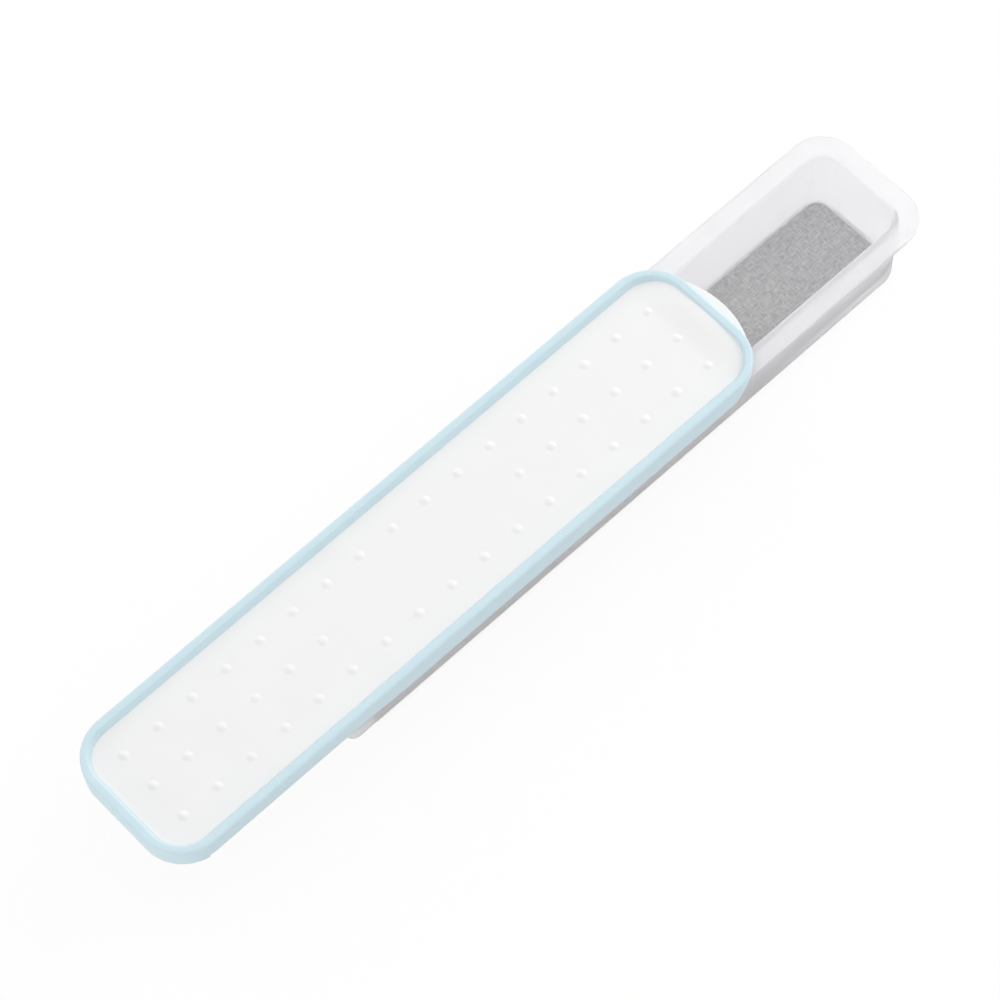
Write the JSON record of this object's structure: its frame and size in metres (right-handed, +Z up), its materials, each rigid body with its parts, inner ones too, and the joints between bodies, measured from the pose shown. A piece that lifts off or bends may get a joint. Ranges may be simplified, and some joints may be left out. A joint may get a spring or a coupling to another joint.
{
  "type": "toothbrush travel case",
  "caption": "Slim travel case for a toothbrush: a long open tray with a flat rim and a lined floor, closed by a sliding lid with raised grip dots, a soft raised border and a thumb lip.",
  "frame": {"origin": "on the flat underside of the tray, in the middle of the rim's length and width", "axes": "+X along the case towards the tray's sloped end and the lid's thumb lip, +Y across it, +Z up through the lid"},
  "size_m": [0.2716, 0.046, 0.0287],
  "materials": {
    "frosted_polypropylene": "frosted, slightly translucent",
    "grey_soft_pad": "fine linen texture",
    "white_polypropylene": "satin, moulded",
    "blue_elastomer": "soft touch, satin"
  },
  "bodies": {
    "tray": {"base_tray": "frosted_polypropylene", "tray_liner": "grey_soft_pad"},
    "lid": {"lid_panel": "white_polypropylene", "lid_border": "blue_elastomer"}
  },
  "joints": [
    {"name": "lid_slide", "type": "slide", "parent": "tray", "child": "lid", "axis": [-1, 0, 0], "range_m": [-0.0593, 0.155]}
  ]
}
